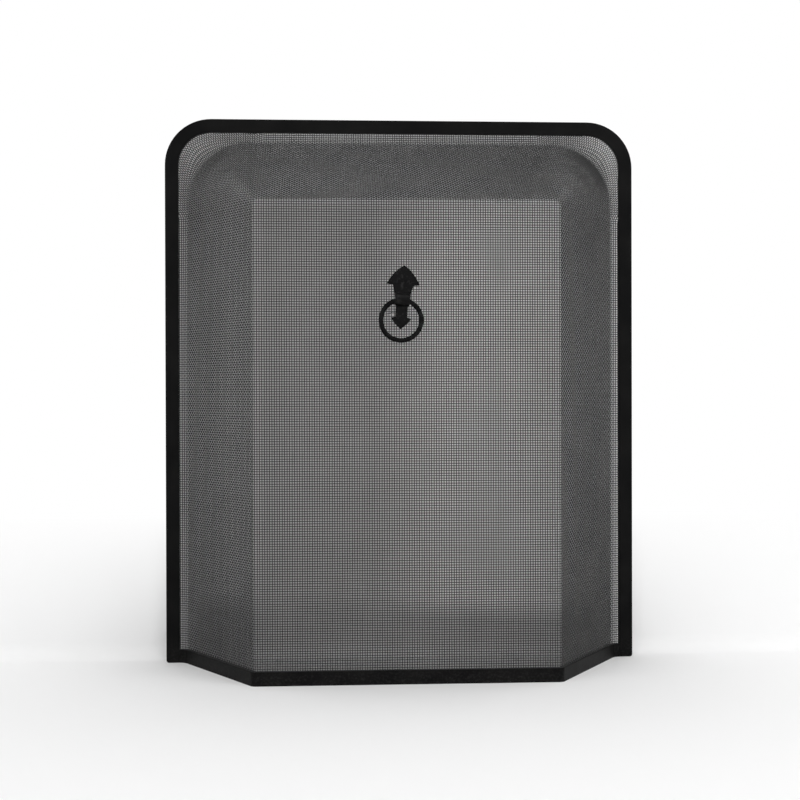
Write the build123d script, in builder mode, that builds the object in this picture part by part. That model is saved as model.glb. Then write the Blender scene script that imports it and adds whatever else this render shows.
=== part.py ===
# Fireplace screen: a wire cloth guard pressed into a bulge, bound at its edge by a folded sheet
# steel arch and base rail, with a spear-ended handle and a drop ring on its front panel.
#
# Frame: +X right, -Y front (towards the room), +Z up, mm. The origin is on the floor under the
# middle of the overall box. Depths are measured forwards from the arch's rear face: layer(s) is
# the upright plane s in front of that face, and a sketch on it is drawn in X and Z. Insets of the
# base rail are measured from its outer face.

from build123d import *
from math import cos, radians, sin, sqrt, tan
import os

os.makedirs("parts", exist_ok=True)

# ---- Driving dimensions, mm and degrees ----
WIDTH = 520.0  # arch, outside to outside
HEIGHT = 600.0  # floor to the top of the arch
DEPTH = 125.0  # from the arch's front face to the base rail's front face
FACE = 14.5  # width of the folded band, as seen from the front
SHEET = 0.8  # sheet that the arch and the base rail are folded from
EDGE_ROUND = 0.6  # rounding where that sheet is folded
ARCH_RADIUS = 51.0  # top corners of the arch, outside
FOOT_RADIUS = 3.0  # outer bottom corners of the arch
WING_ANGLE = 32.9  # slant of the wings away from straight ahead
FOOT_TAB = 0.3  # straight end of the base rail beside each upright
REAR_BEND = 10.0  # bend from that end into the wing, on the rail's outer face
FRONT_BEND = 0.6  # bend from the wing into the front, on the rail's inner face

ROD = 4.0  # stiffening rod folded into each channel
ROD_PLAY = 0.2  # each side of the rod, inside its channel
ROD_END_GAP = 1.0  # from a rod's end to what closes its channel

WIRE = 0.9  # wire of the woven cloth
CLOTH_EDGE_GAP = 0.7  # from the rod to the edge of the cloth
TOP_FLANGE = 9.0  # flat cloth seen between the arch and the bulge, at the top
TOP_DROP = 105.0  # from the arch's top down to the fold along the top of the front panel
BULGE_RADIUS = 70.0  # top corners of the bulge where it leaves the flat edge
FOLD_RADIUS = 6.0  # the same corners on the front panel
CORNER_FADE = 1.5  # power by which they narrow from the one to the other
BULGE_SLICES = 4  # from the flat edge to the front panel
FRONT_COLUMNS = 8  # coarse openings that stand for the meshes, across the front panel
WING_COLUMNS = 2  # and across each wing
FRONT_ROWS = 10  # up the front panel
TOP_ROWS = 2  # up the slanting top
GRID_BAR = 12.0  # bar left between those openings
STUD_BAR_SPARE = 2.0  # by which the bar behind the handle is wider than a washer, each side

HANDLE_X = -5.7  # the handle's pivot, across
HANDLE_DROP = 208.2  # the handle's pivot, below the arch's top
HANDLE_LEAN = 3.6  # the handle's top leans to the right, degrees
RING_DIAMETER = 46.0  # drop ring, outside
RING_WIRE = 4.8
RING_GAP = 0.3  # from the hanging ring to the cloth
SADDLE_GAP = 0.48  # from the ring to the inside of the saddle
STRAP = 2.0  # thickness of the saddle and the shaft
HEAD_EDGE = 1.6  # thickness of both spear heads at their edges
HEAD_BOW = 1.9  # how far the upper head's edges bow out
HEAD_PEAK = 3.4  # thickness of the upper head at its peak
HEAD_TIP = 35.5  # upper head's tip above the pivot
HEAD_BARB = 16.1  # its barbs above the pivot
HEAD_HALF = 16.7  # its barbs from the centre line
HEAD_SUMMIT = 6.0  # its peak beyond the barbs
BODY_HALF = 10.9  # body just under the barbs, from the centre line
NECK_HALF = 7.7  # neck and saddle
NECK_FLARE = 0.4  # by which the body is wider than the neck where it meets the saddle
SHAFT_HALF = 6.2  # lower shaft
TAIL_BOW = 0.8  # how far the lower head's edges bow out
TAIL_PEAK = 2.8  # thickness of the lower head at its peak
TAIL_TIP = 29.5  # lower head's tip below the pivot
TAIL_BARB = 18.6  # its barbs below the pivot
TAIL_HALF = 10.4  # its barbs from the centre line
TAIL_SUMMIT = 3.0  # its peak beyond the barbs
BARB_SETBACK = 2.6  # base of both heads, back from the barbs

STUD = 4.0  # threaded studs on the back of the handle
STUD_UP = 13.0  # upper stud above the pivot
STUD_DOWN = 15.0  # lower stud below the pivot
STUD_HOLE_PLAY = 0.25  # around a stud, in the cloth and in its washer
STUD_END = 1.0  # stud left standing out of its nut
THREAD_PLAY = 0.05
WASHER = 12.0
WASHER_THICK = 1.0
NUT = 7.0  # across flats
NUT_THICK = 3.2

PLATE = 1.2  # foot plates behind the bottom corners
PLATE_MARGIN = 1.0  # from a plate's edge to the edge of the band
PLATE_WING = 26.0  # length of a plate along the wing
RIVET = 3.2
RIVET_PLAY = 0.1  # around a rivet, in its holes
RIVET_HEAD = 6.0
RIVET_HEAD_THICK = 1.2
RIVET_HEAD_TAPER = 35.0  # slope of its domed side, degrees
RIVET_TAIL = 4.4  # swollen blind end
RIVET_TAIL_THICK = 1.0
UPRIGHT_RIVET = 5.0  # from the upright's inner edge
WING_RIVET = 7.0  # from the plate's end on the wing

# ---- What follows from them ----
CHANNEL = ROD + 2 * (ROD_PLAY + SHEET)  # depth of the folded band
MID = CHANNEL / 2
CAVITY = CHANNEL - 2 * SHEET
CLOTH = 2 * WIRE  # one wire crosses over another
CLOTH_INSET = SHEET + ROD + CLOTH_EDGE_GAP  # the cloth's edge, inside the band
OPENING_HALF = WIDTH / 2 - FACE
WING_SLOPE = tan(radians(WING_ANGLE))
CORNER_SHIFT = tan(radians(90 - WING_ANGLE) / 2)  # a rail corner's shift for 1 mm of inset
REAR_HALF = OPENING_HALF - FOOT_TAB - REAR_BEND * CORNER_SHIFT  # rail's rear corner, outer face
FRONT_HALF = REAR_HALF - DEPTH * WING_SLOPE  # rail's front corner, outer face
BULGE_HALF = REAR_HALF - MID * CORNER_SHIFT
BULGE_TOP = HEIGHT - FACE - TOP_FLANGE
TOP_SLOPE = (TOP_DROP - FACE - TOP_FLANGE) / DEPTH
FOLD_HALF = BULGE_HALF - DEPTH * WING_SLOPE  # front panel, from the middle to a side fold
FOLD_TOP = HEIGHT - TOP_DROP
CLOTH_BACK = MID + DEPTH - CLOTH / 2  # back of the front panel
CLOTH_FRONT = CLOTH_BACK + CLOTH
RING_LOOP = (RING_DIAMETER - RING_WIRE) / 2  # radius of the ring's centre line
RING_HOLE = RING_LOOP - RING_WIRE / 2  # radius of the ring, inside
PIVOT_OUT = RING_GAP + RING_WIRE / 2  # ring's centre line in front of the cloth
SADDLE_REACH = RING_LOOP - sqrt(RING_HOLE**2 - NECK_HALF**2)  # furthest that the ring swings
SADDLE_INNER = SADDLE_REACH + SADDLE_GAP
SADDLE_OUTER = SADDLE_INNER + STRAP
FRONT_REACH = CLOTH_FRONT + PIVOT_OUT + SADDLE_OUTER
REAR_REACH = PLATE + RIVET_HEAD_THICK
RIVET_HOLE = RIVET / 2 + RIVET_PLAY
REAR_Y = (FRONT_REACH - REAR_REACH) / 2


def layer(s):
    """The upright plane s in front of the arch's rear face."""
    return Plane.XZ.offset(s - REAR_Y)


def arch_area(inset, floor, foot_radius):
    """The area inside the arch's outline, drawn in by inset, down to the height floor."""
    side = WIDTH / 2 - inset
    top = HEIGHT - inset
    corner = ARCH_RADIUS - inset
    corners = [(-side, floor), (-side, top), (side, top), (side, floor)]
    with BuildLine() as outline:
        FilletPolyline(*corners, radius=[foot_radius, corner, corner, foot_radius], close=True)
    make_face(outline.edges())


def rail_line(inset):
    """The base rail's plan, from its left end to its right end, at an inset."""
    rear_x = REAR_HALF - inset * CORNER_SHIFT
    front_x = FRONT_HALF - inset * CORNER_SHIFT
    rear_y = REAR_Y - CHANNEL + inset
    front_y = rear_y - DEPTH
    rear_bend = REAR_BEND + inset
    front_bend = FRONT_BEND + CHANNEL - inset
    left = [(-OPENING_HALF, rear_y), (-rear_x, rear_y), (-front_x, front_y)]
    right = [(front_x, front_y), (rear_x, rear_y), (OPENING_HALF, rear_y)]
    return FilletPolyline(*left, *right, radius=[rear_bend, front_bend, front_bend, rear_bend])


def rail_strip(near, far):
    """The strip of plan between two insets of the base rail."""
    with BuildLine() as outline:
        outer = rail_line(near)
        inner = rail_line(far)
        Line(outer @ 0, inner @ 0)
        Line(outer @ 1, inner @ 1)
    make_face(outline.edges())


TURN = radians(WING_ANGLE)
WING_BACK = Plane(
    (REAR_HALF - CHANNEL * CORNER_SHIFT, REAR_Y, FACE / 2),
    x_dir=(-sin(TURN), -cos(TURN), 0),
    z_dir=(-cos(TURN), sin(TURN), 0),
)  # back of the right wing, from its rear corner forwards
RIVET_PLANES = [
    Plane((OPENING_HALF + UPRIGHT_RIVET, REAR_Y, FACE / 2), z_dir=(0, 1, 0)),
    Plane(WING_BACK.from_local_coords((PLATE_WING - WING_RIVET, 0, 0)), z_dir=WING_BACK.z_dir),
]


# ---- Arch: a U channel open towards the middle and closed under its feet ----
with BuildPart() as arch_channel:
    with BuildSketch(layer(0)):
        arch_area(0, 0, FOOT_RADIUS)
    extrude(amount=CHANNEL)
    faces_across = arch_channel.faces().filter_by(Axis.Y)
    fillet(faces_across.edges(), EDGE_ROUND)
    with BuildSketch(layer(SHEET)):
        arch_area(SHEET, SHEET, FOOT_RADIUS - SHEET)
    extrude(amount=CAVITY, mode=Mode.SUBTRACT)
    with BuildSketch(layer(0)):
        arch_area(FACE, -FACE, 0)
    extrude(amount=CHANNEL, mode=Mode.SUBTRACT)
    with BuildSketch(RIVET_PLANES[0]):
        Circle(RIVET_HOLE)
    hole = extrude(amount=-SHEET, mode=Mode.SUBTRACT)
    mirror(hole, about=Plane.YZ, mode=Mode.SUBTRACT)
arch_channel.part.label = "arch_channel"

# ---- Base rail: a U channel open upwards, from upright to upright round the bulge ----
with BuildPart() as base_rail:
    with BuildSketch(Plane.XY):
        rail_strip(0, CHANNEL)
    extrude(amount=FACE)
    with BuildSketch(Plane.XY.offset(SHEET)):
        rail_strip(SHEET, CHANNEL - SHEET)
    extrude(amount=FACE, mode=Mode.SUBTRACT)
    with BuildSketch(RIVET_PLANES[1]):
        Circle(RIVET_HOLE)
    hole = extrude(amount=-SHEET, mode=Mode.SUBTRACT)
    mirror(hole, about=Plane.YZ, mode=Mode.SUBTRACT)
base_rail.part.label = "base_rail"

# ---- Rods lying in the folds of the two channels ----
ROD_INSET = SHEET + ROD / 2
ROD_FOOT = FOOT_RADIUS + ROD_END_GAP

with BuildPart() as arch_rod:
    side = WIDTH / 2 - ROD_INSET
    top = HEIGHT - ROD_INSET
    with BuildLine(layer(MID)) as arch_rod_line:
        corners = [(-side, ROD_FOOT), (-side, top), (side, top), (side, ROD_FOOT)]
        FilletPolyline(*corners, radius=ARCH_RADIUS - ROD_INSET)
    with BuildSketch(Plane.XY.offset(ROD_FOOT)):
        with Locations((-side, REAR_Y - MID)):
            Circle(ROD / 2)
    sweep(path=arch_rod_line.wire())
arch_rod.part.label = "arch_rod"

with BuildPart() as base_rod:
    with BuildLine(Plane.XY.offset(ROD_INSET)) as base_rod_line:
        rail_line(MID)
    with BuildSketch(Plane.YZ.offset(-OPENING_HALF)):
        with Locations((REAR_Y - MID, ROD_INSET)):
            Circle(ROD / 2)
    sweep(path=base_rod_line.wire())
base_rod.part.label = "base_rod"


# ---- Guard: one sheet of wire cloth, flat at its edge and pressed forwards into a bulge ----
def bulge_area(s, skin, floor):
    """The bulge's section at depth s, skin outside the middle of the cloth."""
    forward = s - MID
    share = min(max(forward / DEPTH, 0), 1)
    side = BULGE_HALF - forward * WING_SLOPE + skin * sqrt(1 + WING_SLOPE**2)
    top = BULGE_TOP - forward * TOP_SLOPE + skin * sqrt(1 + TOP_SLOPE**2)
    corner = FOLD_RADIUS + (BULGE_RADIUS - FOLD_RADIUS) * (1 - share) ** CORNER_FADE + skin
    corners = [(-side, floor), (-side, top), (side, top), (side, floor)]
    with BuildLine() as outline:
        FilletPolyline(*corners, radius=[0, corner, corner, 0], close=True)
    make_face(outline.edges())


SLICES = [MID + DEPTH * step / BULGE_SLICES for step in range(1, BULGE_SLICES)]
EDGE_BACK = MID - CLOTH / 2
EDGE_FRONT = MID + CLOTH / 2
LEAN = radians(HANDLE_LEAN)
HANDLE_PLANE = Plane(
    (HANDLE_X, REAR_Y - CLOTH_FRONT, HEIGHT - HANDLE_DROP),
    x_dir=(cos(LEAN), 0, -sin(LEAN)),
    z_dir=(0, -1, 0),
)
STUD_PLACES = [(0, STUD_UP), (0, -STUD_DOWN)]


def grid_places(start, end, count):
    """Middles of equal places between two sizes, each with the width of its opening."""
    step = (end - start) / count
    return [(start + (k + 0.5) * step, step - GRID_BAR) for k in range(count)]


WING_PLACES = grid_places(FOLD_HALF, BULGE_HALF, WING_COLUMNS)
TOP_PLACES = grid_places(FOLD_TOP, BULGE_TOP, TOP_ROWS)
def beside_studs(x, width):
    """A column's middle and width, once it leaves the bar behind the handle wide enough."""
    reach = WASHER / 2 + STUD_BAR_SPARE
    low, high = x - width / 2, x + width / 2
    if low < HANDLE_X - reach < high:
        high = HANDLE_X - reach
    if low < HANDLE_X + reach < high:
        low = HANDLE_X + reach
    return (low + high) / 2, high - low


def open_place(x, z):
    """Whether the grid is open at a place: not at the rounded top corners."""
    return not (abs(x) == WING_PLACES[-1][0] and z == TOP_PLACES[-1][0])


GRID_ACROSS = [beside_studs(*place) for place in grid_places(-FOLD_HALF, FOLD_HALF, FRONT_COLUMNS)]
GRID_ACROSS += WING_PLACES + [(-x, width) for x, width in WING_PLACES]
GRID_UP = grid_places(FACE, FOLD_TOP, FRONT_ROWS) + TOP_PLACES


def bulge_root(part, s):
    """The edges where the bulge leaves the flat face at depth s."""
    root = part.edges().filter_by_position(Axis.Y, REAR_Y - s - 0.01, REAR_Y - s + 0.01)
    root = root.filter_by_position(Axis.X, -BULGE_HALF - CLOTH, BULGE_HALF + CLOTH)
    return root.filter_by_position(Axis.Z, 0, BULGE_TOP + CLOTH)


with BuildPart() as hearth_side:
    with BuildSketch(layer(-CHANNEL)):
        with Locations((0, HEIGHT / 2)):
            Rectangle(2 * WIDTH, 2 * HEIGHT)
    extrude(amount=EDGE_BACK + CHANNEL)
    for s in [EDGE_BACK, *SLICES, CLOTH_BACK]:
        with BuildSketch(layer(s)):
            bulge_area(s, -CLOTH / 2, -FACE)
    loft(ruled=True)
    fillet(bulge_root(hearth_side, EDGE_BACK), REAR_BEND + MID + CLOTH / 2)

with BuildPart() as mesh_guard:
    with BuildSketch(layer(EDGE_BACK)):
        arch_area(CLOTH_INSET, CLOTH_INSET, 0)
    extrude(amount=CLOTH)
    for s in [EDGE_FRONT, *SLICES, CLOTH_FRONT]:
        with BuildSketch(layer(s)):
            bulge_area(s, CLOTH / 2, CLOTH_INSET)
    loft(ruled=True)
    fillet(bulge_root(mesh_guard, EDGE_FRONT), REAR_BEND + MID - CLOTH / 2)
    add(hearth_side.part, mode=Mode.SUBTRACT)
    with BuildSketch(HANDLE_PLANE.offset(STRAP)):
        with Locations(*STUD_PLACES):
            Circle(STUD / 2 + STUD_HOLE_PLAY)
    extrude(amount=-2 * CLOTH - STRAP, mode=Mode.SUBTRACT)
    with BuildSketch(layer(0)):
        for x, width in GRID_ACROSS:
            for z, height in GRID_UP:
                if open_place(x, z):
                    with Locations((x, z)):
                        Rectangle(width, height)
    extrude(amount=CLOTH_FRONT, mode=Mode.SUBTRACT)
mesh_guard.part.label = "mesh_guard"

# ---- Handle: a strap with a saddle over the ring and a spear head at each end ----
saddle_plane = Plane(HANDLE_PLANE.origin, x_dir=HANDLE_PLANE.y_dir, z_dir=HANDLE_PLANE.x_dir)


def spear_face(tip, barb, half, bow):
    """A spear head's outline: edges that bow out, and a base set back between the barbs."""
    base = barb - BARB_SETBACK * barb / abs(barb)
    with BuildLine() as outline:
        right = SagittaArc((0, tip), (half, barb), bow * tip / abs(tip))
        left = SagittaArc((-half, barb), (0, tip), bow * tip / abs(tip))
        Polyline(right @ 1, (0, base), left @ 0)
    make_face(outline.edges())


with BuildSketch(HANDLE_PLANE.offset(HEAD_EDGE)) as head_face:
    spear_face(HEAD_TIP, HEAD_BARB, HEAD_HALF, HEAD_BOW)

with BuildSketch(HANDLE_PLANE.offset(HEAD_EDGE)) as tail_face:
    spear_face(-TAIL_TIP, -TAIL_BARB, TAIL_HALF, TAIL_BOW)

head_summit = HANDLE_PLANE.from_local_coords((0, HEAD_BARB + HEAD_SUMMIT, HEAD_PEAK))
tail_summit = HANDLE_PLANE.from_local_coords((0, -TAIL_BARB - TAIL_SUMMIT, TAIL_PEAK))

with BuildPart() as handle_strap:
    with BuildSketch(saddle_plane):
        with Locations((0, STRAP / 2)):
            Rectangle(2 * HEAD_TIP, STRAP)
        with Locations((0, PIVOT_OUT)):
            Circle(SADDLE_OUTER)
            Circle(SADDLE_INNER, mode=Mode.SUBTRACT)
        with Locations((0, -SADDLE_OUTER / 2)):
            Rectangle(2 * HEAD_TIP, SADDLE_OUTER, mode=Mode.SUBTRACT)
    extrude(amount=BODY_HALF, both=True)
    with BuildSketch(HANDLE_PLANE):
        with BuildLine():
            right = [(NECK_HALF + NECK_FLARE, SADDLE_OUTER), (NECK_HALF, 0)]
            right += [(NECK_HALF, -SADDLE_INNER), (SHAFT_HALF, -SADDLE_OUTER)]
            left = [(-x, y) for x, y in reversed(right)]
            head_end = [(-BODY_HALF, HEAD_BARB), (BODY_HALF, HEAD_BARB)]
            tail_end = [(SHAFT_HALF, -TAIL_BARB), (-SHAFT_HALF, -TAIL_BARB)]
            Polyline(*head_end, *right, *tail_end, *left, close=True)
        make_face()
    extrude(amount=PIVOT_OUT + SADDLE_OUTER, mode=Mode.INTERSECT)
    for face, summit in [(head_face, head_summit), (tail_face, tail_summit)]:
        extrude(face.sketch, amount=-HEAD_EDGE)
        loft([face.sketch.face(), Vertex(*summit)])
handle_strap.part.label = "handle_strap"

# ---- Drop ring, hanging through the saddle ----
ring_centre = HANDLE_PLANE.from_local_coords((0, -RING_LOOP, PIVOT_OUT))
ring_plane = Plane(ring_centre, x_dir=HANDLE_PLANE.x_dir, z_dir=HANDLE_PLANE.z_dir)

with BuildPart(ring_plane) as handle_ring:
    Torus(RING_LOOP, RING_WIRE / 2)
handle_ring.part.label = "handle_ring"

# ---- The handle's fixings: studs through the cloth, wide washers and nuts behind it ----
with BuildPart() as handle_studs:
    with BuildSketch(HANDLE_PLANE):
        with Locations(*STUD_PLACES):
            Circle(STUD / 2)
    extrude(amount=-(CLOTH + WASHER_THICK + NUT_THICK + STUD_END))
    chamfer(handle_studs.faces().sort_by(Axis.Y)[-2:].edges(), STUD_END / 2)
handle_studs.part.label = "handle_studs"

with BuildPart() as handle_washers:
    with BuildSketch(HANDLE_PLANE.offset(-CLOTH)):
        with Locations(*STUD_PLACES):
            Circle(WASHER / 2)
            Circle(STUD / 2 + STUD_HOLE_PLAY, mode=Mode.SUBTRACT)
    extrude(amount=-WASHER_THICK)
handle_washers.part.label = "handle_washers"

with BuildPart() as handle_nuts:
    with BuildSketch(HANDLE_PLANE.offset(-CLOTH - WASHER_THICK)):
        with Locations(*STUD_PLACES):
            RegularPolygon(NUT / 2, 6, major_radius=False)
            Circle(STUD / 2 + THREAD_PLAY, mode=Mode.SUBTRACT)
    extrude(amount=-NUT_THICK)
handle_nuts.part.label = "handle_nuts"


# ---- Foot plates, riveted behind the bottom corners from upright to wing ----
def plate_line(behind):
    """A foot plate's plan, behind the right corner of the band."""
    start = (WIDTH / 2 - PLATE_MARGIN, REAR_Y + behind)
    corner = (REAR_HALF - (CHANNEL + behind) * CORNER_SHIFT, REAR_Y + behind)
    end = WING_BACK.from_local_coords((PLATE_WING, 0, behind))
    return FilletPolyline(start, corner, (end.X, end.Y), radius=REAR_BEND + CHANNEL + behind)


with BuildPart() as foot_plate_right:
    with BuildSketch(Plane.XY.offset(FOOT_RADIUS)):
        with BuildLine():
            inner = plate_line(0)
            outer = plate_line(PLATE)
            Line(inner @ 0, outer @ 0)
            Line(inner @ 1, outer @ 1)
        make_face()
    extrude(amount=FACE - PLATE_MARGIN - FOOT_RADIUS)
    with BuildSketch(*RIVET_PLANES):
        Circle(RIVET_HOLE)
    extrude(amount=PLATE, mode=Mode.SUBTRACT)
foot_plate_right.part.label = "foot_plate_right"

with BuildPart() as foot_plate_left:
    mirror(foot_plate_right.part, about=Plane.YZ)
foot_plate_left.part.label = "foot_plate_left"

with BuildPart() as foot_rivets:
    with BuildSketch(*[plane.offset(PLATE) for plane in RIVET_PLANES]):
        Circle(RIVET_HEAD / 2)
    extrude(amount=RIVET_HEAD_THICK, taper=RIVET_HEAD_TAPER)
    with BuildSketch(*[plane.offset(PLATE) for plane in RIVET_PLANES]):
        Circle(RIVET / 2)
    extrude(amount=-PLATE - SHEET)
    with BuildSketch(*[plane.offset(-SHEET) for plane in RIVET_PLANES]):
        Circle(RIVET_TAIL / 2)
    extrude(amount=-RIVET_TAIL_THICK)
    mirror(about=Plane.YZ)
foot_rivets.part.label = "foot_rivets"

# ---- One file for each piece ----
pieces = [
    arch_channel,
    base_rail,
    arch_rod,
    base_rod,
    mesh_guard,
    handle_strap,
    handle_ring,
    handle_studs,
    handle_washers,
    handle_nuts,
    foot_plate_left,
    foot_plate_right,
    foot_rivets,
]

for piece in pieces:
    export_step(piece.part, f"parts/{piece.part.label}.step")

pivot = HANDLE_PLANE.from_local_coords((0, 0, PIVOT_OUT))
print("ring pivot", pivot, "axis", -HANDLE_PLANE.x_dir)
print("rear face at y", REAR_Y, "front face of the rail at y", REAR_Y - CHANNEL - DEPTH)
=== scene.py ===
# %% [markdown]
# # A fireplace screen and its woven guard
#
# The screen is a sheet of black wire cloth, pressed forwards into a bulge and bound by a folded
# steel arch and a base rail. A spear-ended handle with a drop ring sits on the front panel.
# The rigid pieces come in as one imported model. They stay where they are and only get their
# finishes here. The cloth comes in as a plain sheet of the right shape, and this script weaves
# its wires one by one.

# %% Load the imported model
import math

import bpy
import numpy as np
from mathutils import Euler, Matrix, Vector


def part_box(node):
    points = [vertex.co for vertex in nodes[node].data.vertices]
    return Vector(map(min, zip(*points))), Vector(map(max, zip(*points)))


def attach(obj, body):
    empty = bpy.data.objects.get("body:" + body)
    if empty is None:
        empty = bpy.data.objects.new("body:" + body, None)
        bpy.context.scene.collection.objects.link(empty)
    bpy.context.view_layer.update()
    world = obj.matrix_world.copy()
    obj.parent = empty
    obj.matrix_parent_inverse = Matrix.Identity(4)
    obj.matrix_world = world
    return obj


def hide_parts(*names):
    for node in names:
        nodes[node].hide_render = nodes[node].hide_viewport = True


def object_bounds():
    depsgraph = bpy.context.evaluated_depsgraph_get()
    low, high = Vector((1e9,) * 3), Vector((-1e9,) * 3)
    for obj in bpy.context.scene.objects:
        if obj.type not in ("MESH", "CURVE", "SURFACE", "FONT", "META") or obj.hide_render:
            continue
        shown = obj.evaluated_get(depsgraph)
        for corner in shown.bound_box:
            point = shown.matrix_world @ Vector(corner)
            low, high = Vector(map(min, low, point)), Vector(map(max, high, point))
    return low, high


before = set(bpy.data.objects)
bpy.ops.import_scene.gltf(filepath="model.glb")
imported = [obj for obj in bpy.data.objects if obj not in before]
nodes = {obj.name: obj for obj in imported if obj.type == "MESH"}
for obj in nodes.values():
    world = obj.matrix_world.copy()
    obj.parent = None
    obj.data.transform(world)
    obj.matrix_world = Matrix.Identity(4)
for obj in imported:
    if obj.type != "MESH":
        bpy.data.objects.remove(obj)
cad_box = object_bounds()
print("pieces in the packed model:", sorted(nodes))

# %% [markdown]
# ## The camera
#
# The screen is seen from its front, a little from the left, by a camera as high as its middle
# and about a metre and a half away. The camera could be aimed with a tracking constraint, but
# three plain angles are easier to read and to repeat.

# %% Place the camera
CAMERA_PLACE = (-0.08456, -1.40224, 0.29717)
CAMERA_TURN = math.radians(-3.258)
CAMERA_TILT = math.radians(89.695)
CAMERA_ROLL = math.radians(-0.143)
LENS = 59.29

camera_data = bpy.data.cameras.new("camera")
camera_data.lens = LENS
camera_data.sensor_width = 36.0
camera_data.clip_start = 0.01
camera = bpy.data.objects.new("camera", camera_data)
camera.location = CAMERA_PLACE
turn = Euler((0, 0, CAMERA_TURN)).to_matrix()
tilt = Euler((CAMERA_TILT, 0, 0)).to_matrix()
roll = Euler((0, 0, CAMERA_ROLL)).to_matrix()
camera.rotation_euler = (turn @ tilt @ roll).to_euler()
bpy.context.scene.collection.objects.link(camera)
bpy.context.scene.camera = camera
print("camera at", CAMERA_PLACE, "with a lens of", LENS, "mm")

# %% [markdown]
# ## The form of the cloth
#
# The cloth lies flat against the arch all the way round. Inside that edge it rises over a soft
# root into two wings and a slanting top, and ends in a flat front panel with crisp folds. One
# function gives its depth anywhere, and everything that follows reads it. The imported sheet
# could be sampled with rays, but a formula is faster and exact at every crossing.

# %% Give the depth of the cloth at any place
ARCH_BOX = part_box("arch_channel")
REAR_Y = ARCH_BOX[1].y
ARCH_TOP = ARCH_BOX[1].z
CHANNEL = 0.006  # depth of the folded band
MID = CHANNEL / 2  # the flat edge of the cloth lies in its middle
DEPTH = 0.125  # from the flat edge to the front panel
WING_ANGLE = math.radians(32.9)
WING_SLOPE = math.tan(WING_ANGLE)
TOP_SLOPE = 0.652
BULGE_HALF = 0.2381193  # where the wings leave the flat edge
BULGE_TOP = 0.5765  # where the slanting top leaves it
ROOT_RADIUS = 0.013  # soft bend from the flat edge into the bulge
BULGE_RADIUS = 0.070  # top corners of the bulge at the flat edge
FOLD_RADIUS = 0.006  # the same corners at the front panel
CORNER_FADE = 1.5  # power by which they narrow
BULGE_STEPS = 4
FOLD_SOFTNESS = 0.0008
SEARCH_BACK = 0.060
SEARCH_FRONT = 0.400
HALVINGS = 34

step_depths = MID + DEPTH * np.arange(BULGE_STEPS + 1) / BULGE_STEPS
step_shares = (step_depths - MID) / DEPTH
step_corners = FOLD_RADIUS + (BULGE_RADIUS - FOLD_RADIUS) * (1 - step_shares) ** CORNER_FADE


def outside_section(x, z, s):
    """How far the place (x, z) lies outside the bulge's section at depth s."""
    side = BULGE_HALF - (s - MID) * WING_SLOPE
    top = BULGE_TOP - (s - MID) * TOP_SLOPE
    corner = np.interp(s, step_depths, step_corners)
    right = np.abs(x) - (side - corner)
    above = z - (top - corner)
    rounded = np.hypot(np.maximum(right, 0), np.maximum(above, 0))
    return np.where((right > 0) & (above > 0), rounded, np.maximum(right, above)) - corner


def slope_depth(x, z):
    """Depth of the bulge's slanting sides at (x, z), carried on past both their ends."""
    low = np.full(np.shape(x), MID - SEARCH_BACK)
    high = np.full(np.shape(x), MID + DEPTH + SEARCH_FRONT)
    for _ in range(HALVINGS):
        middle = (low + high) / 2
        beyond = outside_section(x, z, middle) > 0
        high = np.where(beyond, middle, high)
        low = np.where(beyond, low, middle)
    return (low + high) / 2


def cloth_depth(x, z):
    """Depth of the middle of the cloth at (x, z), in front of the arch's rear face."""
    slope = slope_depth(x, z)
    steepness = 1 / WING_SLOPE
    bend = math.atan(steepness)
    reach = ROOT_RADIUS * math.tan(bend / 2)
    into_root = np.clip((slope - MID) / steepness + reach, 0, None)
    arc_end = reach * (1 + math.cos(bend))
    inside_arc = np.minimum(into_root, arc_end)
    arc = MID + ROOT_RADIUS - np.sqrt(ROOT_RADIUS**2 - np.minimum(inside_arc, ROOT_RADIUS) ** 2)
    depth = np.where(into_root < arc_end, arc, slope)
    front = MID + DEPTH
    gap = depth - front
    return front + (gap - np.sqrt(gap**2 + FOLD_SOFTNESS**2)) / 2


panel_depth = cloth_depth(np.array([0.0]), np.array([ARCH_TOP / 2]))[0]
print(f"the front panel stands {panel_depth * 1000:.1f} mm in front of the arch's rear face")

# %% [markdown]
# ## Where the wires run
#
# The cloth is a plain weave of ten wires to the inch. On the flat sheet its wires are square
# and even. Pressed into the bulge they lean and crowd, most of all round the top corners. The
# even step along the surface is kept: an upright wire is a line of equal distance from the
# middle, measured along the cloth, and a level wire is a line of equal distance from the foot.

# %% Measure distances along the cloth
MESH = 0.00254  # ten wires to the inch
CLOTH_INSET = 0.0055  # the cloth's edge inside the frame's outline
CLOTH_FOOT = CLOTH_INSET
GRID = 0.0005
GRID_WIDTH = 0.330
GRID_TOP = 0.680
GRID_END = 1.001  # keeps a place just short of the last grid line

grid_x = np.arange(0, GRID_WIDTH, GRID)
grid_z = np.arange(CLOTH_FOOT, GRID_TOP, GRID)
far_x, far_z = np.meshgrid(grid_x, grid_z)
depth = cloth_depth(far_x, far_z)
level_steps = np.hypot(GRID, np.diff(depth, axis=1))
upright_steps = np.hypot(GRID, np.diff(depth, axis=0))
across = np.zeros_like(depth)
across[:, 1:] = np.cumsum(level_steps, axis=1) / MESH
up = np.zeros_like(depth)
up[1:, :] = np.cumsum(upright_steps, axis=0) / MESH


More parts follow.
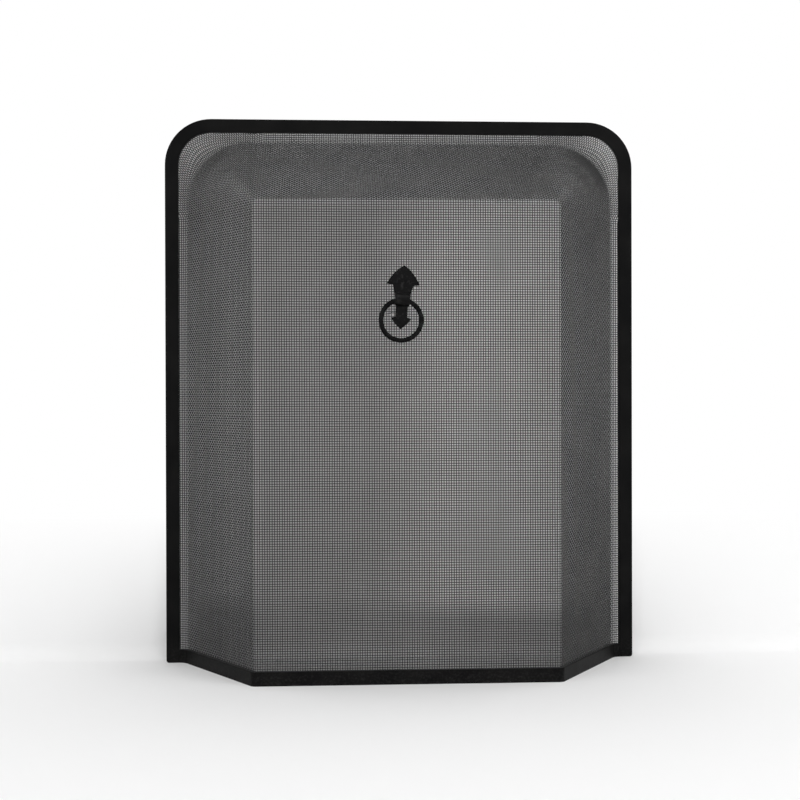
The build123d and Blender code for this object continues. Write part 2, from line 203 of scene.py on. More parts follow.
def read_grid(table, x, z):
    """A table's value and its slopes at (x, z), between its grid points."""
    column = np.clip(x / GRID, 0, len(grid_x) - GRID_END)
    row = np.clip((z - CLOTH_FOOT) / GRID, 0, len(grid_z) - GRID_END)
    c = column.astype(int)
    r = row.astype(int)
    u = column - c
    v = row - r
    low = table[r, c] * (1 - u) + table[r, c + 1] * u
    high = table[r + 1, c] * (1 - u) + table[r + 1, c + 1] * u
    left = table[r, c] * (1 - v) + table[r + 1, c] * v
    right = table[r, c + 1] * (1 - v) + table[r + 1, c + 1] * v
    return low * (1 - v) + high * v, (right - left) / GRID, (high - low) / GRID


HALF_CLOTH = ARCH_BOX[1].x - CLOTH_INSET
half_meshes = np.interp(HALF_CLOTH, grid_x, across[len(grid_z) // 2])
print(f"half the cloth is {half_meshes:.0f} meshes wide at mid height")

# %% Let the wires bend gently
BEND_LENGTH = 0.016


def eased(table, axis):
    """The table averaged along one axis, as stiff wires even out a sudden change."""
    weights = np.hanning(round(BEND_LENGTH / GRID) + 2)[1:-1]
    weights /= weights.sum()
    half = len(weights) // 2
    padding = [(0, 0), (0, 0)]
    padding[axis] = (half, len(weights) - 1 - half)
    padded = np.pad(table, padding, mode="edge")
    total = np.zeros_like(table)
    for step, weight in enumerate(weights):
        window = [slice(None), slice(None)]
        window[axis] = slice(step, step + table.shape[axis])
        total += weight * padded[tuple(window)]
    return total


across = eased(across, 0)
up = eased(up, 1)
print("bends eased over", BEND_LENGTH * 1000, "mm")

# %% [markdown]
# Each crossing starts from a rough guess. Its place is looked up in the two tables and moved by
# a share of what it misses, again and again, until it lies on both of its wires. Only the right
# half is worked out, because the left half is its mirror image.

# %% Find every crossing of an upright wire and a level wire
WIRES_ACROSS = 136  # in one half
WIRES_UP = 275
GUESS_ACROSS = 0.8
GUESS_UP = 0.85
CORRECTIONS = 200
CORRECTION_SHARE = 0.8
LAST_X = 0.325  # no crossing is looked for beyond these
LAST_Z = 0.675

wire_numbers = np.arange(WIRES_ACROSS)
level_numbers = np.arange(WIRES_UP)
i, j = np.meshgrid(wire_numbers + 0.5, level_numbers + 0.5)
x = i * MESH * GUESS_ACROSS
z = CLOTH_FOOT + j * MESH * GUESS_UP
for _ in range(CORRECTIONS):
    value, slope, _slope_up = read_grid(across, x, z)
    x = np.clip(x + CORRECTION_SHARE * (i - value) / np.maximum(slope, 1 / MESH), 0, LAST_X)
    value, _slope_across, slope = read_grid(up, x, z)
    z = z + CORRECTION_SHARE * (j - value) / np.maximum(slope, 1 / MESH)
    z = np.clip(z, CLOTH_FOOT, LAST_Z)

CLOTH_TOP = ARCH_TOP - CLOTH_INSET
miss = np.abs(read_grid(across, x, z)[0] - i)
inside = (x < HALF_CLOTH) & (z < CLOTH_TOP)
print(f"crossings settled to {miss[inside].max():.4f} of a mesh")

# %% [markdown]
# ## Weaving
#
# In a plain weave each wire goes over one neighbour and under the next. At a crossing the two
# wires stand half a wire's thickness to either side of the cloth's middle, so they touch and
# never cut each other. The side changes from one crossing to the next.

# %% Lay out the whole cloth
ARCH_RADIUS = 0.051
CORNER_RADIUS = ARCH_RADIUS - CLOTH_INSET
CORNER_X = HALF_CLOTH - CORNER_RADIUS
CORNER_Z = CLOTH_TOP - CORNER_RADIUS


def mirrored(half, sign):
    """The whole cloth's table from its right half."""
    return np.hstack([sign * half[:, ::-1], half])


cross_x = mirrored(x, -1)
cross_z = mirrored(z, 1)
present = (np.abs(cross_x) < HALF_CLOTH) & (cross_z < CLOTH_TOP)
past_corner = np.hypot(np.abs(cross_x) - CORNER_X, cross_z - CORNER_Z) > CORNER_RADIUS
present &= ~((np.abs(cross_x) > CORNER_X) & (cross_z > CORNER_Z) & past_corner)
print("crossings on the cloth:", int(present.sum()))

# %% [markdown]
# ## Small faults and parted wires
#
# No cloth is perfect: its wires wander by a few hundredths of a millimetre, which keeps it from
# looking printed. Slow waves with their own length and start for each wire do that. And where a
# stud of the handle passes, the wires are parted with an awl and not cut, so each wire near a
# stud is pushed aside, less and less with its distance. Two meshes beside the spear heads were
# widened in the same way, probably while the handle was being fitted.

# %% Let the wires wander and part them round the studs
WANDER = 0.00005
WAVE_SHORT = 0.045
WAVE_LONG = 0.140
PARTING = 0.0045  # how far along a wire its push is felt
HANDLE_AT = (-0.0057, 0.3918)
HANDLE_LEAN = math.radians(3.6)
STUD_REACH = 0.0026
MESH_REACH = 0.00145
PARTED_AT = [  # sideways and upwards along the handle, and how far the wires are pushed
    (0.0, 0.013, STUD_REACH),
    (0.0, -0.015, STUD_REACH),
    (0.0124, 0.0131, MESH_REACH),
    (-0.0085, -0.0149, MESH_REACH),
]
SEED = 11

rng = np.random.default_rng(SEED)


def wandering(wires, along, axis):
    """A slow wave along each wire, with its own length and start."""
    shape = [1, 1]
    shape[axis] = wires
    waves = rng.uniform(WAVE_SHORT, WAVE_LONG, shape)
    starts = rng.uniform(0, 2 * math.pi, shape)
    return WANDER * np.sin(2 * math.pi * along / waves + starts)


def parted(x, z, u, v, reach):
    """The crossings pushed aside round the place (u, v) of the handle's own frame."""
    from_x = x - HANDLE_AT[0] - u * math.cos(HANDLE_LEAN) - v * math.sin(HANDLE_LEAN)
    from_z = z - HANDLE_AT[1] + u * math.sin(HANDLE_LEAN) - v * math.cos(HANDLE_LEAN)
    push_x = reach * np.exp(-((from_z / PARTING) ** 2))
    push_z = reach * np.exp(-((from_x / PARTING) ** 2))
    new_x = np.sign(from_x) * np.cbrt(np.abs(from_x) ** 3 + push_x**3)
    new_z = np.sign(from_z) * np.cbrt(np.abs(from_z) ** 3 + push_z**3)
    return x + new_x - from_x, z + new_z - from_z


cross_x, cross_z = (
    cross_x + wandering(cross_x.shape[1], cross_z, 1),
    cross_z + wandering(cross_x.shape[0], cross_x, 0),
)
for u, v, reach in PARTED_AT:
    cross_x, cross_z = parted(cross_x, cross_z, u, v, reach)
print("wires parted at", len(PARTED_AT), "places")

# %% Set the wires over and under each other
WIRE = 0.0009
SLOPE_PROBE = 0.0004

right_of = cloth_depth(cross_x + SLOPE_PROBE, cross_z)
left_of = cloth_depth(cross_x - SLOPE_PROBE, cross_z)
above = cloth_depth(cross_x, cross_z + SLOPE_PROBE)
below = cloth_depth(cross_x, cross_z - SLOPE_PROBE)
outwards = np.stack(
    [
        -(right_of - left_of) / (2 * SLOPE_PROBE),
        -np.ones_like(cross_x),
        -(above - below) / (2 * SLOPE_PROBE),
    ],
    axis=-1,
)
outwards /= np.linalg.norm(outwards, axis=-1, keepdims=True)
cloth = np.stack([cross_x, REAR_Y - cloth_depth(cross_x, cross_z), cross_z], axis=-1)

rows, columns = np.indices(cross_x.shape)
side = np.where((rows + columns) % 2 == 0, 1.0, -1.0)[..., None]
upright_line = cloth + outwards * side * WIRE / 2
level_line = cloth - outwards * side * WIRE / 2
print("wires", WIRE * 1000, "mm thick laid over and under each other")

# %% [markdown]
# ## From lines to round wires
#
# A curve with a round bevel would do for a few wires, but there are more than five hundred with
# a bend at every crossing. Building the tubes as one mesh is far quicker: every point of a line
# gets a small ring of corners, and neighbouring rings are joined by faces. The wires are grouped
# in bands, so that no single piece grows too heavy.

# %% Put rings of corners round the lines
SIDES = 6
ring_angles = np.arange(SIDES) * 2 * math.pi / SIDES


def wire_rings(lines, normals):
    """Rings of corners round lines that run along the first axis."""
    along = np.gradient(lines, axis=0)
    along /= np.linalg.norm(along, axis=-1, keepdims=True)
    sideways = np.cross(along, normals)
    sideways /= np.linalg.norm(sideways, axis=-1, keepdims=True)
    upwards = np.cross(sideways, along)
    turn = ring_angles[:, None]
    spokes = np.cos(turn) * upwards[..., None, :] + np.sin(turn) * sideways[..., None, :]
    return lines[..., None, :] + spokes * WIRE / 2


print("each ring has", SIDES, "corners")


# %% Join the rings into a band of wires
def band_of_wires(name, lines, normals, shown):
    """One mesh of round wires. Lines run along the first axis, one wire for each column."""
    rings = wire_rings(lines, normals)
    corner = np.full(shown.shape, -1)
    corner[shown] = np.arange(shown.sum()) * SIDES
    points = rings[shown].reshape(-1, 3)
    joined = shown[:-1] & shown[1:]
    first = corner[:-1][joined][:, None]
    second = corner[1:][joined][:, None]
    k = np.arange(SIDES)
    after = (k + 1) % SIDES
    walls = np.stack([first + k, first + after, second + after, second + k], axis=-1)
    walls = walls.reshape(-1, 4)
    starts = shown & ~np.vstack([np.zeros_like(shown[:1]), shown[:-1]])
    ends = shown & ~np.vstack([shown[1:], np.zeros_like(shown[:1])])
    front_caps = corner[starts][:, None] + k[::-1]
    back_caps = corner[ends][:, None] + k
    faces = walls.tolist() + front_caps.tolist() + back_caps.tolist()
    mesh = bpy.data.meshes.new(name)
    mesh.from_pydata(points.tolist(), [], faces)
    mesh.polygons.foreach_set("use_smooth", np.arange(len(faces)) < len(walls))
    mesh.update()
    band = bpy.data.objects.new(name, mesh)
    bpy.context.scene.collection.objects.link(band)
    return band


# %% Weave the upright and the level wires
BANDS = 6

wire_bands = []
for number, part in enumerate(np.array_split(np.arange(cross_x.shape[1]), BANDS)):
    name = f"upright_wires_{number + 1}"
    lines = upright_line[:, part]
    wire_bands.append(band_of_wires(name, lines, outwards[:, part], present[:, part]))

for number, part in enumerate(np.array_split(np.flatnonzero(present.any(axis=1)), BANDS)):
    name = f"level_wires_{number + 1}"
    lines = level_line[part].transpose(1, 0, 2)
    normals = outwards[part].transpose(1, 0, 2)
    wire_bands.append(band_of_wires(name, lines, normals, present[part].T))

for band in wire_bands:
    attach(band, "screen")
    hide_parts("mesh_guard")
    print(band.name, len(band.data.polygons), "faces")

# %% [markdown]
# ## The finishes
#
# Everything is finished in black, but not in one black. The band has a satin heat-proof paint
# with a fine orange-peel skin, the cloth a thinner coat of it, and the handle is forged iron
# under a rubbed coat. All patterns are worked out in metres from the pieces' own places, so they
# keep their real size on every piece.

# %% Start a finish
FULL = 1.0


def new_finish(name, roughness, metallic=0.0, gloss=0.5):
    """An empty finish, its tree, its shader and the place coordinates in metres."""
    material = bpy.data.materials.new(name)
    material.use_nodes = True
    tree = material.node_tree
    shader = tree.nodes["Principled BSDF"]
    shader.inputs["Roughness"].default_value = roughness
    shader.inputs["Metallic"].default_value = metallic
    shader.inputs["Specular IOR Level"].default_value = gloss
    place = tree.nodes.new("ShaderNodeTexCoord").outputs["Object"]
    return material, tree, shader, place


# %% Add helpers for patterns and colours
def noise(tree, place, size, detail=3.0, roughness=0.5):
    """Smooth noise whose blots are about size metres across."""
    node = tree.nodes.new("ShaderNodeTexNoise")
    node.inputs["Scale"].default_value = 1 / size
    node.inputs["Detail"].default_value = detail
    node.inputs["Roughness"].default_value = roughness
    tree.links.new(place, node.inputs["Vector"])
    return node.outputs["Fac"]


def remap(tree, value, low, high, to_low, to_high):
    """A value stretched from one range to another, and held inside it."""
    node = tree.nodes.new("ShaderNodeMapRange")
    node.inputs["From Min"].default_value = low
    node.inputs["From Max"].default_value = high
    node.inputs["To Min"].default_value = to_low
    node.inputs["To Max"].default_value = to_high
    tree.links.new(value, node.inputs["Value"])
    return node.outputs["Result"]


def blend_colours(tree, share, under, over):
    """Two colours mixed by a share. Each may be a plain colour or a socket."""
    node = tree.nodes.new("ShaderNodeMix")
    node.data_type = "RGBA"
    tree.links.new(share, node.inputs["Factor"])
    for socket, colour in [(node.inputs["A"], under), (node.inputs["B"], over)]:
        if isinstance(colour, tuple):
            socket.default_value = (*colour, 1.0)
        else:
            tree.links.new(colour, socket)
    return node.outputs["Result"]


# %% Add helpers for arithmetic
def calculate(tree, operation, first, second=None):
    """One step of arithmetic. Each value may be a plain number or a socket."""
    node = tree.nodes.new("ShaderNodeMath")
    node.operation = operation
    for socket, value in zip(node.inputs, [first, second]):
        if isinstance(value, (int, float)):
            socket.default_value = value
        elif value is not None:
            tree.links.new(value, socket)
    return node.outputs["Value"]


def split_place(tree, place):
    """The three parts of a place."""
    parts = tree.nodes.new("ShaderNodeSeparateXYZ")
    tree.links.new(place, parts.inputs["Vector"])
    return parts.outputs["X"], parts.outputs["Y"], parts.outputs["Z"]


# %% Add helpers for bumps and for dressing the pieces
def add_bumps(tree, shader, heights):
    """Bumps laid over each other. Each is a height pattern and its depth in metres."""
    normal = None
    for pattern, deep in heights:
        bump = tree.nodes.new("ShaderNodeBump")
        bump.inputs["Strength"].default_value = FULL
        bump.inputs["Distance"].default_value = deep
        tree.links.new(pattern, bump.inputs["Height"])
        if normal is not None:
            tree.links.new(normal, bump.inputs["Normal"])
        normal = bump.outputs["Normal"]
    tree.links.new(normal, shader.inputs["Normal"])


def dress(names, material):
    """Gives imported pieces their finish."""
    for name in names:
        mesh = nodes[name].data
        mesh.materials.clear()
        mesh.materials.append(material)
    print(material.name, "on", ", ".join(names))


# %% [markdown]
# ### Paint on the folded band
#
# Stove paint is sprayed on and baked. It dries to a satin black with a skin like fine orange
# peel, a millimetre or so from hill to hill, and it shows faint cloudy patches where the coat is
# thicker. Ash and handling leave it a little greyer and duller near the floor.

# %% Mix the satin stove paint
PAINT_BLACK = (0.0035, 0.0035, 0.0037)
PAINT_WORN = (0.0080, 0.0078, 0.0076)
PAINT_ROUGH = (0.36, 0.50)
CLOUD_SIZE = 0.035
CLOUD_SPREAD = (0.35, 0.75)
ASH_GREY = (0.060, 0.058, 0.055)
ASH_HEIGHT = 0.030
ASH_SHARE = 0.25
SPECK_SIZE = 0.0025
SPECK_SPREAD = (0.48, 0.68)
PEEL_SIZE = 0.0011
PEEL_DEPTH = 0.00003
RIPPLE_SIZE = 0.020
RIPPLE_DEPTH = 0.00025

paint, tree, shader, place = new_finish("satin_stove_paint", 0.42, gloss=0.05)
clouds = remap(tree, noise(tree, place, CLOUD_SIZE, detail=4), *CLOUD_SPREAD, 0, 1)
colour = blend_colours(tree, clouds, PAINT_BLACK, PAINT_WORN)
height = split_place(tree, place)[2]
near_floor = remap(tree, height, 0.0, ASH_HEIGHT, ASH_SHARE, 0.0)
specks = remap(tree, noise(tree, place, SPECK_SIZE, detail=4, roughness=0.7), *SPECK_SPREAD, 0, 1)
ash = calculate(tree, "MULTIPLY", near_floor, specks)
colour = blend_colours(tree, ash, colour, ASH_GREY)
tree.links.new(colour, shader.inputs["Base Color"])
tree.links.new(remap(tree, clouds, 0, 1, *PAINT_ROUGH), shader.inputs["Roughness"])
peel = noise(tree, place, PEEL_SIZE, detail=2)
ripple = noise(tree, place, RIPPLE_SIZE, detail=2)
add_bumps(tree, shader, [(ripple, RIPPLE_DEPTH), (peel, PEEL_DEPTH)])
dress(["arch_channel", "base_rail", "foot_plate_left", "foot_plate_right"], paint)

# %% [markdown]
# ### The coat on the wires
#
# The cloth is woven bare and dipped or sprayed afterwards, so paint gathers where wires cross
# and is thin on the tops of the bends. The wires are far too thin to show more than a slow
# change of tone, so their finish stays simple.

# %% Mix the coat on the wires
WIRE_BLACK = (0.034, 0.034, 0.0345)
WIRE_WORN = (0.060, 0.0592, 0.0585)
WIRE_ROUGH = (0.42, 0.58)
PATCH_SIZE = 0.030
PATCH_SPREAD = (0.35, 0.70)

wire_coat, tree, shader, place = new_finish("coated_wire", 0.5, gloss=0.25)
patches = remap(tree, noise(tree, place, PATCH_SIZE), *PATCH_SPREAD, 0, 1)
tree.links.new(blend_colours(tree, patches, WIRE_BLACK, WIRE_WORN), shader.inputs["Base Color"])
tree.links.new(remap(tree, patches, 0, 1, *WIRE_ROUGH), shader.inputs["Roughness"])
for band in wire_bands:
    band.data.materials.append(wire_coat)
print("wires coated:", len(wire_bands), "bands")

# %% [markdown]
# ### Forged handle and smooth ring
#
# The handle's spear heads are forged and keep shallow hammer marks a few millimetres across,
# with the coat rubbed thin on their high spots. The ring is bent from smooth round bar, and
# hands keep it slightly polished.

# %% Mix the forged iron of the handle
IRON_BLACK = (0.0022, 0.0022, 0.0024)
IRON_RUBBED = (0.0340, 0.0334, 0.0326)
IRON_ROUGH = (0.34, 0.52)
RUB_SIZE = 0.004
RUB_SPREAD = (0.54, 0.72)
RUB_SHARE = 0.7
DENT_SIZE = 0.0045
DENT_DEPTH = 0.0004
DENT_SMOOTHNESS = 0.6
SCALE_SIZE = 0.0008
SCALE_DEPTH = 0.00004

iron, tree, shader, place = new_finish("forged_black_iron", 0.42, gloss=0.08)
dents = tree.nodes.new("ShaderNodeTexVoronoi")
dents.feature = "SMOOTH_F1"
dents.inputs["Scale"].default_value = 1 / DENT_SIZE
dents.inputs["Smoothness"].default_value = DENT_SMOOTHNESS
tree.links.new(place, dents.inputs["Vector"])
rubbed = noise(tree, place, RUB_SIZE, detail=4, roughness=0.6)
rubbed = remap(tree, rubbed, *RUB_SPREAD, 0, RUB_SHARE)
tree.links.new(blend_colours(tree, rubbed, IRON_BLACK, IRON_RUBBED), shader.inputs["Base Color"])
tree.links.new(remap(tree, rubbed, 0, 1, *IRON_ROUGH), shader.inputs["Roughness"])
scale_marks = noise(tree, place, SCALE_SIZE)
add_bumps(tree, shader, [(dents.outputs["Distance"], DENT_DEPTH), (scale_marks, SCALE_DEPTH)])
dress(["handle_strap"], iron)

# %% Mix the smooth iron of the ring
RING_ROUGH = (0.26, 0.40)
RING_RUB_SIZE = 0.008
RING_RUB_SPREAD = (0.45, 0.75)
RING_RUB_SHARE = 0.3
RING_GRAIN = 0.0015

ring_iron, tree, shader, place = new_finish("polished_black_ring", 0.3, gloss=0.06)
rubbed = noise(tree, place, RING_RUB_SIZE)
rubbed = remap(tree, rubbed, *RING_RUB_SPREAD, 0, RING_RUB_SHARE)
tree.links.new(blend_colours(tree, rubbed, IRON_BLACK, IRON_RUBBED), shader.inputs["Base Color"])
tree.links.new(remap(tree, rubbed, 0, 1, *RING_ROUGH), shader.inputs["Roughness"])
add_bumps(tree, shader, [(noise(tree, place, RING_GRAIN), SCALE_DEPTH)])
dress(["handle_ring"], ring_iron)

# %% [markdown]
# ### Rods and fixings
#
# The rods inside the folds are bright drawn wire with a fine grain and a bloom of rust. The
# studs, washers, nuts and blind rivets are zinc plated, dulled by heat and smoke. Both are bare
# metal with dull blots, so one function mixes both.

# %% Mix the drawn steel and the dull zinc
METAL_GRAIN_DEPTH = 0.00003


def worn_metal(name, roughness, bright, dull, rough, blot, detail, spread, grain):
    """Bare metal with dull blots on it and a fine grain. Returns the finish."""
    material, tree, shader, place = new_finish(name, roughness, metallic=FULL)
    blots = noise(tree, place, blot, detail, roughness=0.6)
    blots = remap(tree, blots, *spread, 0, 1)
    tree.links.new(blend_colours(tree, blots, bright, dull), shader.inputs["Base Color"])
    tree.links.new(remap(tree, blots, 0, 1, *rough), shader.inputs["Roughness"])
    add_bumps(tree, shader, [(noise(tree, place, grain), METAL_GRAIN_DEPTH)])
    return material


steel = worn_metal(
    "drawn_steel",
    roughness=0.38,
    bright=(0.42, 0.41, 0.40),
    dull=(0.16, 0.075, 0.035),
    rough=(0.30, 0.80),
    blot=0.006,
    detail=5,
    spread=(0.55, 0.70),
    grain=0.0006,
)
dress(["arch_rod", "base_rod"], steel)

zinc = worn_metal(
    "smoked_zinc",
    roughness=0.45,
    bright=(0.33, 0.33, 0.34),
    dull=(0.16, 0.16, 0.165),
    rough=(0.35, 0.60),
    blot=0.003,
    detail=4,
    spread=(0.40, 0.65),
    grain=0.0005,
)
dress(["handle_studs", "handle_washers", "handle_nuts", "foot_rivets"], zinc)

# %% [markdown]
# ## Floor, wall and light
#
# The screen stands on a pale floor close in front of a pale wall, as it would stand before a
# hearth. The wall matters: light has to pass the cloth on its way to the wall, and once more on
# its way back, and that gives the cloth part of its smoky grey. The rest is painted shade on the
# wall and the floor behind the cloth. The wall can only be seen from its front, so it doesn't
# hide the screen's back.

# %% Build the floor and the wall
WALL_GAP = 0.020  # from the screen's rearmost point
WALL_WIDTH = 8.0
WALL_HEIGHT = 5.0
COVE = 0.018  # round bend between floor and wall
COVE_STEPS = 12
FLOOR_HALF = 6.0
PALE = (0.93, 0.93, 0.93)


def stage_sheet(name, points, faces):
    """A sheet of the stage, smooth where it bends."""
    mesh = bpy.data.meshes.new(name)
    mesh.from_pydata(points, [], faces)
    for face in mesh.polygons:
        face.use_smooth = True
    sheet = bpy.data.objects.new(name, mesh)
    bpy.context.scene.collection.objects.link(sheet)
    return sheet


floor_corners = [
    (-FLOOR_HALF, -FLOOR_HALF, 0),
    (FLOOR_HALF, -FLOOR_HALF, 0),
    (FLOOR_HALF, FLOOR_HALF, 0),
    (-FLOOR_HALF, FLOOR_HALF, 0),
]
floor = stage_sheet("floor", floor_corners, [(0, 1, 2, 3)])

wall_y = cad_box[1][1] + WALL_GAP
profile = []
for step in range(COVE_STEPS + 1):
    angle = math.pi / 2 * step / COVE_STEPS
    profile.append((wall_y - COVE + COVE * math.sin(angle), COVE - COVE * math.cos(angle)))
profile.append((wall_y, WALL_HEIGHT))
wall_ends = (-WALL_WIDTH / 2, WALL_WIDTH / 2)
wall_points = [(x_end, y, z_up) for y, z_up in profile for x_end in wall_ends]
wall_faces = [(2 * k, 2 * k + 1, 2 * k + 3, 2 * k + 2) for k in range(len(profile) - 1)]
wall = stage_sheet("wall", wall_points, wall_faces)
print("the wall stands at y =", round(wall_y, 4))

# %% Add helpers for the stage
def plain_ray(tree):
    """Whether a ray comes straight from the camera, from a mirror or through glass."""
    ray = tree.nodes.new("ShaderNodeLightPath")
    plain = calculate(tree, "MAXIMUM", ray.outputs["Is Camera Ray"], ray.outputs["Is Glossy Ray"])
    return calculate(tree, "MAXIMUM", plain, ray.outputs["Is Transmission Ray"])


def mix_shaders(tree, share, under, over):
    """One shader laid over another by a share."""
    mix = tree.nodes.new("ShaderNodeMixShader")
    tree.links.new(share, mix.inputs["Fac"])
    tree.links.new(under, mix.inputs[1])
    tree.links.new(over, mix.inputs[2])
    return mix.outputs["Shader"]


def white_light(tree):
    """A surface that is plain white whatever light falls on it."""
    glow = tree.nodes.new("ShaderNodeEmission")
    glow.inputs["Strength"].default_value = FULL
    return glow.outputs["Emission"]


# %% [markdown]
# The floor is one pale colour, with painted shade between the wings, where it is mostly seen
# through the cloth: a grey patch laid over the screen's own shadow there. It keeps the screen's
# shadow. Farther away it turns to plain white, so that it meets the backdrop without a line.

# %% Paint the floor
# painted shade: a grey patch on the floor between the wings, inside the screen
FLOOR_SHADE = (0.54, 0.54, 0.54)
FLOOR_SIDES = (0.176, 0.191)  # the shade ends between these, along the lines of the wings
FLOOR_START = (-0.062, -0.050)  # it starts behind the front rail
FLOOR_END = (0.090, 0.130)  # and it fades out behind the arch
FLOOR_FADE = (0.5, 1.4)  # from pale to plain white, away from the middle

floor_paint, tree, shader, place = new_finish("pale_floor", 0.9, gloss=0.1)
floor_x, floor_y, _height = split_place(tree, place)
from_wings = calculate(tree, "ABSOLUTE", floor_x)
wing_line = calculate(tree, "MULTIPLY", floor_y, WING_SLOPE)
from_wings = calculate(tree, "SUBTRACT", from_wings, wing_line)
# where the painted shade lies, fading out at its edges
shaded = remap(tree, from_wings, *FLOOR_SIDES, 1, 0)
shaded = calculate(tree, "MULTIPLY", shaded, remap(tree, floor_y, *FLOOR_START, 0, 1))
shaded = calculate(tree, "MULTIPLY", shaded, remap(tree, floor_y, *FLOOR_END, 1, 0))
tree.links.new(blend_colours(tree, shaded, PALE, FLOOR_SHADE), shader.inputs["Base Color"])
away = tree.nodes.new("ShaderNodeVectorMath")
away.operation = "LENGTH"
tree.links.new(place, away.inputs[0])
far_floor = remap(tree, away.outputs["Value"], *FLOOR_FADE, 0, 1)
far_floor = calculate(tree, "MULTIPLY", far_floor, plain_ray(tree))
mixed = mix_shaders(tree, far_floor, shader.outputs["BSDF"], white_light(tree))
tree.links.new(mixed, tree.nodes["Material Output"].inputs["Surface"])
floor.data.materials.append(floor_paint)
print("the floor turns white from", FLOOR_FADE[0], "m on")

# %% [markdown]
# The wall behind the cloth has to be lit by real light, because the cloth's grey depends on it.
# Round the screen it is a plain white backdrop instead. The change from one to the other lies
# behind the arch's band, and it fades out near the floor, where the two meet. Behind the cloth
# the wall also carries painted shade in a few greys: darker behind the left half of the front
# panel and lighter behind the right half, as from light coming from the right, a darker strip
# along the arch, and darkest a low band near the floor, whose upper edge slants.

# %% Measure how far a place on the wall lies outside the arch
BACKDROP_HALF = 0.257
BACKDROP_TOP = 0.597
BACKDROP_CORNER = 0.046
BACKDROP_SHIFT = 0.0012

wall_paint, tree, shader, place = new_finish("pale_wall", 0.9, gloss=0.1)
wall_x, _depth, wall_z = split_place(tree, place)
past_side = calculate(tree, "ABSOLUTE", calculate(tree, "SUBTRACT", wall_x, BACKDROP_SHIFT))
past_side = calculate(tree, "SUBTRACT", past_side, BACKDROP_HALF - BACKDROP_CORNER)
past_side = calculate(tree, "MAXIMUM", past_side, 0.0)
past_top = calculate(tree, "SUBTRACT", wall_z, BACKDROP_TOP - BACKDROP_CORNER)
past_top = calculate(tree, "MAXIMUM", past_top, 0.0)
past_both = calculate(tree, "MULTIPLY", past_side, past_side)
past_both = calculate(tree, "ADD", past_both, calculate(tree, "MULTIPLY", past_top, past_top))
past_arch = calculate(tree, "SUBTRACT", calculate(tree, "SQRT", past_both), BACKDROP_CORNER)
print("the backdrop starts behind the arch,", BACKDROP_HALF * 2, "m wide")

# %% Paint shade on the wall behind the cloth
# painted shade behind the front panel: darker on the left, lighter on the right, as from light
# coming from the right
SHADE_LEFT = (0.66, 0.66, 0.66)
SHADE_RIGHT = (0.91, 0.91, 0.91)
SHADE_STEP = (-0.03, 0.05)  # from the left shade to the right one
SHADE_SIDES = (0.150, 0.190)  # both end here, at the sides of the front panel
SHADE_ABOVE = (0.505, 0.530)  # and here, at its top
# painted shade, darkest in a low band near the floor
SHADE_DEEP = (0.60, 0.60, 0.60)
SHADE_LOW = (0.042, 0.066)  # upper edge of the low band
SHADE_SLANT = 0.045  # how much that edge falls for each metre to the right
SHADE_INSIDE = (-0.040, -0.008)  # the low band ends inside the arch
# painted shade in a strip along the arch
SHADE_EDGE = (0.72, 0.72, 0.72)
EDGE_START = (-0.021, -0.013)  # a strip along the arch starts inside it
EDGE_END = (-0.002, 0.006)  # and ends behind its band
EDGE_RIGHT = (0.19, 0.24)  # it is left out on the right

to_right = remap(tree, wall_x, *SHADE_STEP, 0, 1)
shade = blend_colours(tree, to_right, SHADE_LEFT, SHADE_RIGHT)
behind_front = remap(tree, calculate(tree, "ABSOLUTE", wall_x), *SHADE_SIDES, 1, 0)
behind_front = calculate(tree, "MULTIPLY", behind_front, remap(tree, wall_z, *SHADE_ABOVE, 1, 0))
shade = blend_colours(tree, behind_front, PALE, shade)
near_arch = remap(tree, past_arch, *EDGE_START, 0, 1)
near_arch = calculate(tree, "MULTIPLY", near_arch, remap(tree, past_arch, *EDGE_END, 1, 0))
near_arch = calculate(tree, "MULTIPLY", near_arch, remap(tree, wall_x, *EDGE_RIGHT, 1, 0))
shade = blend_colours(tree, near_arch, shade, SHADE_EDGE)
slanting = calculate(tree, "ADD", wall_z, calculate(tree, "MULTIPLY", wall_x, SHADE_SLANT))
near_floor = remap(tree, slanting, *SHADE_LOW, 1, 0)
near_floor = calculate(tree, "MULTIPLY", near_floor, remap(tree, past_arch, *SHADE_INSIDE, 1, 0))
shade = blend_colours(tree, near_floor, shade, SHADE_DEEP)
tree.links.new(shade, shader.inputs["Base Color"])
print("wall shaded behind the cloth")

# %% Turn the wall white round the screen and leave it out from behind
BACKDROP_EDGE = 0.003
BACKDROP_FADE = (0.02, 0.16)

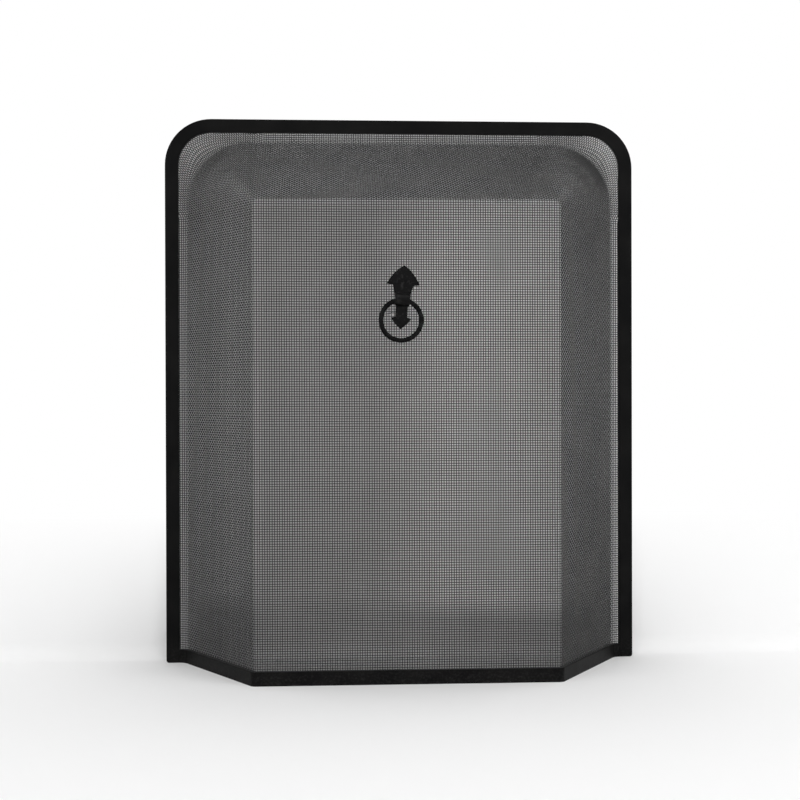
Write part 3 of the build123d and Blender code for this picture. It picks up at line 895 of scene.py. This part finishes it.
backdrop = remap(tree, past_arch, -BACKDROP_EDGE, BACKDROP_EDGE, 0, 1)
backdrop = calculate(tree, "MULTIPLY", backdrop, remap(tree, wall_z, *BACKDROP_FADE, 0, 1))
backdrop = calculate(tree, "MULTIPLY", backdrop, plain_ray(tree))
front = mix_shaders(tree, backdrop, shader.outputs["BSDF"], white_light(tree))
from_behind = tree.nodes.new("ShaderNodeNewGeometry").outputs["Backfacing"]
clear = tree.nodes.new("ShaderNodeBsdfTransparent").outputs["BSDF"]
either_side = mix_shaders(tree, from_behind, front, clear)
tree.links.new(either_side, tree.nodes["Material Output"].inputs["Surface"])
wall.data.materials.append(wall_paint)
print("wall painted")

# %% [markdown]
# ## Lamps
#
# Four large soft lamps light the screen: a strong one to the right, a weaker one to the left, a
# weak one high behind the camera and a strong one overhead. An even pale world fills the shadows.

# %% Hang the lamps
def soft_lamp(name, place, target, size, power):
    """A square soft lamp that faces a target."""
    data = bpy.data.lights.new(name, "AREA")
    data.shape = "SQUARE"
    data.size = size
    data.energy = power
    lamp = bpy.data.objects.new(name, data)
    lamp.location = place
    lamp.rotation_euler = (Vector(target) - Vector(place)).to_track_quat("-Z", "Y").to_euler()
    bpy.context.scene.collection.objects.link(lamp)
    print(name, "at", place, "with", power, "W")


SCREEN_MIDDLE = (0, 0, 0.3)
BEFORE_SCREEN = (0, -0.2, 0)

soft_lamp("front_lamp", (0.3, -3.8, 1.3), SCREEN_MIDDLE, size=2.0, power=5)
soft_lamp("right_lamp", (2.9, -2.0, 1.2), SCREEN_MIDDLE, size=1.6, power=28)
soft_lamp("left_lamp", (-2.9, -2.0, 1.2), SCREEN_MIDDLE, size=1.6, power=8)
soft_lamp("top_lamp", (0.0, -1.3, 3.2), BEFORE_SCREEN, size=2.4, power=24)

# %% Light the world
WORLD_LIGHT = 0.68
WHITE = (1, 1, 1, 1)

world = bpy.data.worlds.new("world")
bpy.context.scene.world = world
world.use_nodes = True
tree = world.node_tree
glow = tree.nodes["Background"]
glow.inputs["Color"].default_value = WHITE
glow.inputs["Strength"].default_value = WORLD_LIGHT
seen = tree.nodes.new("ShaderNodeBackground")
seen.inputs["Color"].default_value = WHITE
seen.inputs["Strength"].default_value = FULL
sky = mix_shaders(tree, plain_ray(tree), glow.outputs["Background"], seen.outputs["Background"])
tree.links.new(sky, tree.nodes["World Output"].inputs["Surface"])
bpy.context.scene.view_settings.view_transform = "Standard"
print("world light", WORLD_LIGHT)
